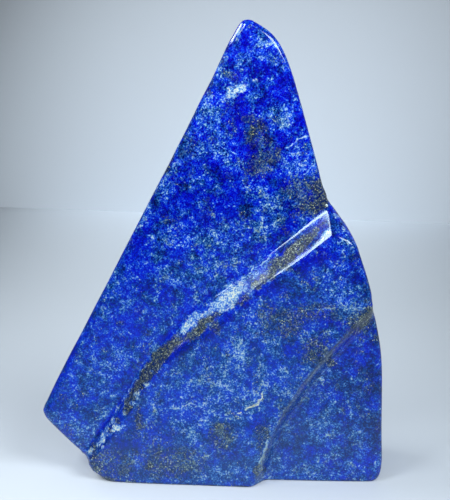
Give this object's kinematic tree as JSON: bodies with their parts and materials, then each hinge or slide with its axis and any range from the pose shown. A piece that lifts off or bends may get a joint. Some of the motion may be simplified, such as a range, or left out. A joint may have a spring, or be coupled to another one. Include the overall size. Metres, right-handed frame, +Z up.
{
  "type": "polished lapis lazuli freeform",
  "caption": "Freestanding slab of lapis lazuli with polished slanting faces, a stepped front and a flat sawn base.",
  "frame": {"origin": "middle of the bounding box in X and Y, on the flat sawn base", "axes": "+Z up, from the base to the apex; the stepped polished front faces -Y, and +X is to the right of someone who looks at it"},
  "size_m": [0.1366, 0.0508, 0.1798],
  "materials": {
    "lapis": "polished"
  },
  "bodies": {
    "root": {"stone": "lapis"}
  },
  "joints": []
}
